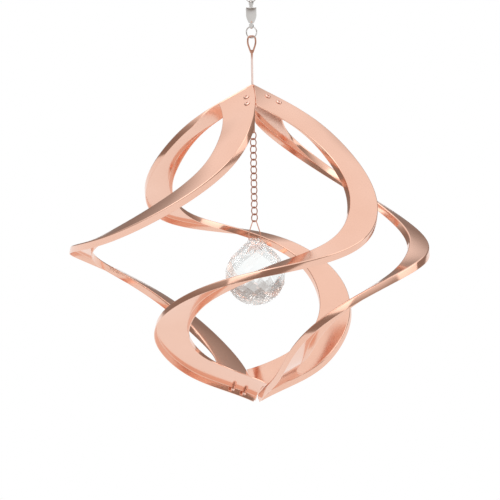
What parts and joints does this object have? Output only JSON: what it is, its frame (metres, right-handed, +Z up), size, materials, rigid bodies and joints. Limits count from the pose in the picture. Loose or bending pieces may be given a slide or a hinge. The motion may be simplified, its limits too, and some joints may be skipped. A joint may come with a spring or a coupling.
{
  "type": "wind spinner",
  "caption": "Hanging copper helix wind spinner: riveted curved ribbons form an open cage round a faceted glass ball on a link chain, under a ball-bearing swivel.",
  "frame": {"origin": "centre of the upper ring, where the spinner hangs", "axes": "+Z up along the hanging axis; the cage's front ribbon bellies out towards -Y and the right one towards +X"},
  "size_m": [0.2907, 0.3159, 0.3402],
  "materials": {
    "copper_strip": "polished copper plating on steel strip",
    "rivet_copper": "satin copper plating",
    "copper_wire": "drawn copper-plated wire",
    "copper_chain": "darker copper-plated wire links",
    "crystal_glass": "cut and polished clear glass",
    "nickel_wire": "nickel-plated wire",
    "nickel_swivel": "nickel-plated, turned",
    "steel_balls": "polished steel"
  },
  "bodies": {
    "upper_ring": {"upper_ring": "nickel_wire"},
    "spindle": {"swivel_spindle": "nickel_swivel"},
    "barrel": {"swivel_barrel": "nickel_swivel", "swivel_cap": "nickel_swivel", "swivel_balls": "steel_balls", "swivel_lower_stud": "nickel_swivel"},
    "lower_ring": {"lower_ring": "nickel_wire"},
    "cage": {"hanger_wire": "copper_wire", "stem_stop": "copper_wire", "ribbon_1": "copper_strip", "ribbon_2": "copper_strip", "ribbon_3": "copper_strip", "ribbon_4": "copper_strip", "top_rivets": "rivet_copper", "bottom_rivets": "rivet_copper"},
    "chain_hook": {"chain_hook": "copper_chain"},
    "chain_link_01": {"chain_link_01": "copper_chain"},
    "chain_link_02": {"chain_link_02": "copper_chain"},
    "chain_link_03": {"chain_link_03": "copper_chain"},
    "chain_link_04": {"chain_link_04": "copper_chain"},
    "chain_link_05": {"chain_link_05": "copper_chain"},
    "chain_link_06": {"chain_link_06": "copper_chain"},
    "chain_link_07": {"chain_link_07": "copper_chain"},
    "chain_link_08": {"chain_link_08": "copper_chain"},
    "chain_link_09": {"chain_link_09": "copper_chain"},
    "chain_link_10": {"chain_link_10": "copper_chain"},
    "chain_link_11": {"chain_link_11": "copper_chain"},
    "chain_link_12": {"chain_link_12": "copper_chain"},
    "chain_link_13": {"chain_link_13": "copper_chain"},
    "bail": {"crystal_bail": "copper_wire"},
    "crystal": {"crystal": "crystal_glass"}
  },
  "joints": [
    {"name": "spindle_swing", "type": "hinge", "parent": "upper_ring", "child": "spindle", "pos_m": [0, 0, -0.0046], "axis": [0.8387, -0.5446, 0], "range_deg": [-30, 30]},
    {"name": "swivel_spin", "type": "hinge", "parent": "spindle", "child": "barrel", "pos_m": [0, 0, -0.016], "axis": [0, 0, 1], "continuous": true},
    {"name": "lower_ring_slide_round", "type": "hinge", "parent": "barrel", "child": "lower_ring", "pos_m": [0, 0, -0.0292], "axis": [0.5446, 0.8387, 0], "range_deg": [-30, 30]},
    {"name": "cage_swing", "type": "hinge", "parent": "lower_ring", "child": "cage", "pos_m": [0, 0, -0.0338], "axis": [-0.8387, 0.5446, 0], "range_deg": [-30, 30]},
    {"name": "hook_swing", "type": "hinge", "parent": "cage", "child": "chain_hook", "pos_m": [0, 0, -0.1036], "axis": [-0.8192, -0.5736, 0], "range_deg": [-35, 35]},
    {"name": "link_01_swing", "type": "hinge", "parent": "chain_hook", "child": "chain_link_01", "pos_m": [0, 0, -0.11165], "axis": [-0.5736, 0.8192, 0], "range_deg": [-35, 35]},
    {"name": "link_02_swing", "type": "hinge", "parent": "chain_link_01", "child": "chain_link_02", "pos_m": [0, 0, -0.1173], "axis": [0.8192, 0.5736, 0], "range_deg": [-35, 35]},
    {"name": "link_03_swing", "type": "hinge", "parent": "chain_link_02", "child": "chain_link_03", "pos_m": [0, 0, -0.12295], "axis": [0.5736, -0.8192, 0], "range_deg": [-35, 35]},
    {"name": "link_04_swing", "type": "hinge", "parent": "chain_link_03", "child": "chain_link_04", "pos_m": [0, 0, -0.1286], "axis": [-0.8192, -0.5736, 0], "range_deg": [-35, 35]},
    {"name": "link_05_swing", "type": "hinge", "parent": "chain_link_04", "child": "chain_link_05", "pos_m": [0, 0, -0.13425], "axis": [-0.5736, 0.8192, 0], "range_deg": [-35, 35]},
    {"name": "link_06_swing", "type": "hinge", "parent": "chain_link_05", "child": "chain_link_06", "pos_m": [0, 0, -0.1399], "axis": [0.8192, 0.5736, 0], "range_deg": [-35, 35]},
    {"name": "link_07_swing", "type": "hinge", "parent": "chain_link_06", "child": "chain_link_07", "pos_m": [0, 0, -0.14555], "axis": [0.5736, -0.8192, 0], "range_deg": [-35, 35]},
    {"name": "link_08_swing", "type": "hinge", "parent": "chain_link_07", "child": "chain_link_08", "pos_m": [0, 0, -0.1512], "axis": [-0.8192, -0.5736, 0], "range_deg": [-35, 35]},
    {"name": "link_09_swing", "type": "hinge", "parent": "chain_link_08", "child": "chain_link_09", "pos_m": [0, 0, -0.15685], "axis": [-0.5736, 0.8192, 0], "range_deg": [-35, 35]},
    {"name": "link_10_swing", "type": "hinge", "parent": "chain_link_09", "child": "chain_link_10", "pos_m": [0, 0, -0.1625], "axis": [0.8192, 0.5736, 0], "range_deg": [-35, 35]},
    {"name": "link_11_swing", "type": "hinge", "parent": "chain_link_10", "child": "chain_link_11", "pos_m": [0, 0, -0.16815], "axis": [0.5736, -0.8192, 0], "range_deg": [-35, 35]},
    {"name": "link_12_swing", "type": "hinge", "parent": "chain_link_11", "child": "chain_link_12", "pos_m": [0, 0, -0.1738], "axis": [-0.8192, -0.5736, 0], "range_deg": [-35, 35]},
    {"name": "link_13_swing", "type": "hinge", "parent": "chain_link_12", "child": "chain_link_13", "pos_m": [0, 0, -0.17945], "axis": [-0.5736, 0.8192, 0], "range_deg": [-35, 35]},
    {"name": "bail_swing", "type": "hinge", "parent": "chain_link_13", "child": "bail", "pos_m": [0, 0, -0.1851], "axis": [-0.8192, -0.5736, 0], "range_deg": [-35, 35]},
    {"name": "crystal_swing", "type": "hinge", "parent": "bail", "child": "crystal", "pos_m": [0, 0, -0.2012], "axis": [0.5736, -0.8192, 0], "range_deg": [-45, 45]}
  ]
}
